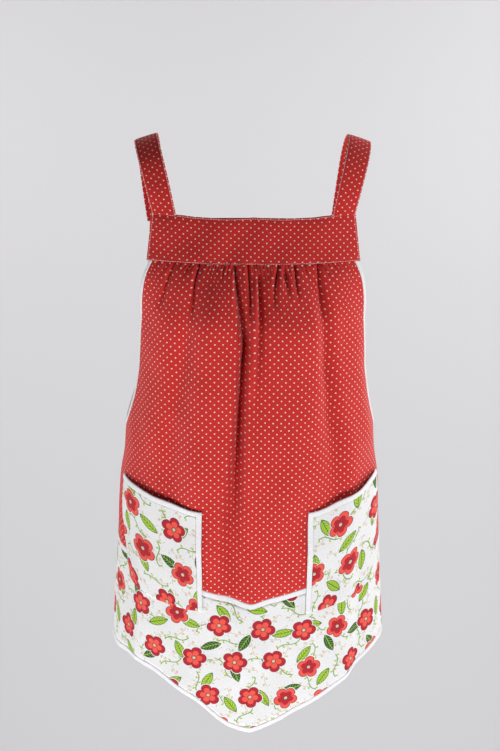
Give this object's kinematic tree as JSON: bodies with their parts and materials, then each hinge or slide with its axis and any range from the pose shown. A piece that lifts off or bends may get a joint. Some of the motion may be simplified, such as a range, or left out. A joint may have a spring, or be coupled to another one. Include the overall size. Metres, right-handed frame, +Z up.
{
  "type": "cobbler apron",
  "caption": "Pull-on cobbler apron with gathered front under a yoke, shoulder straps, bound armholes, patch pockets and a pointed hem band.",
  "frame": {"origin": "middle of the shoulder line, level with the underside of both straps where they rest on the shoulders", "axes": "+Z up, the front of the apron faces -Y, +X to the right as seen from the front"},
  "size_m": [0.4234, 0.2639, 0.8624],
  "materials": {
    "dotted_cotton": "matt red quilting cotton with small white pin dots",
    "printed_cotton": "matt white quilting cotton with a red and green print",
    "bias_tape": "matt white folded cotton bias tape",
    "topstitch_thread": "pale pink sewing thread with a slight sheen"
  },
  "bodies": {
    "root": {"front_yoke": "dotted_cotton", "front_panel": "dotted_cotton", "back_yoke": "dotted_cotton", "back_panel": "dotted_cotton", "strap_left": "dotted_cotton", "strap_right": "dotted_cotton", "hem_band_front": "printed_cotton", "hem_band_back": "printed_cotton", "pocket_left": "printed_cotton", "pocket_right": "printed_cotton", "pocket_binding_left": "bias_tape", "pocket_binding_right": "bias_tape", "armhole_binding_left": "bias_tape", "armhole_binding_right": "bias_tape", "band_binding_front": "bias_tape", "band_binding_back": "bias_tape", "hem_binding": "bias_tape"}
  },
  "joints": []
}
